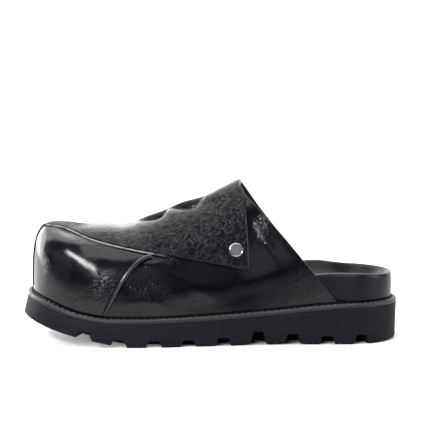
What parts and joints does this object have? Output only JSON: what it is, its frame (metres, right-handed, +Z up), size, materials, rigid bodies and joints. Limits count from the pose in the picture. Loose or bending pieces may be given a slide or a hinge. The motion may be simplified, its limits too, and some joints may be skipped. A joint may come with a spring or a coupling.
{
  "type": "closed-toe clog sandal",
  "caption": "Backless closed-toe clog sandal for the left foot in black leather, with a wrap-over lapel on a snap, a sewn welt and a lugged rubber sole.",
  "frame": {"origin": "centre of the footprint's box, on the floor", "axes": "+Z up, toe towards -X, heel towards +X, outer side of the left foot towards -Y"},
  "size_m": [0.3006, 0.1153, 0.1279],
  "materials": {
    "sole_rubber": "matte moulded black rubber",
    "welt_rubber": "satin black rubber strip",
    "footbed_leather": "semi-gloss smooth black leather",
    "smooth_leather": "glossy wrinkled black leather",
    "grained_leather": "glossy black leather with a fine crinkled grain",
    "snap_metal": "dull silver"
  },
  "bodies": {
    "root": {"outsole": "sole_rubber", "welt": "welt_rubber", "footbed": "footbed_leather", "upper": "smooth_leather", "toe_panel": "smooth_leather", "vamp": "grained_leather", "apron_cord": "smooth_leather", "rolled_edge": "smooth_leather", "snap_cap": "snap_metal"}
  },
  "joints": []
}
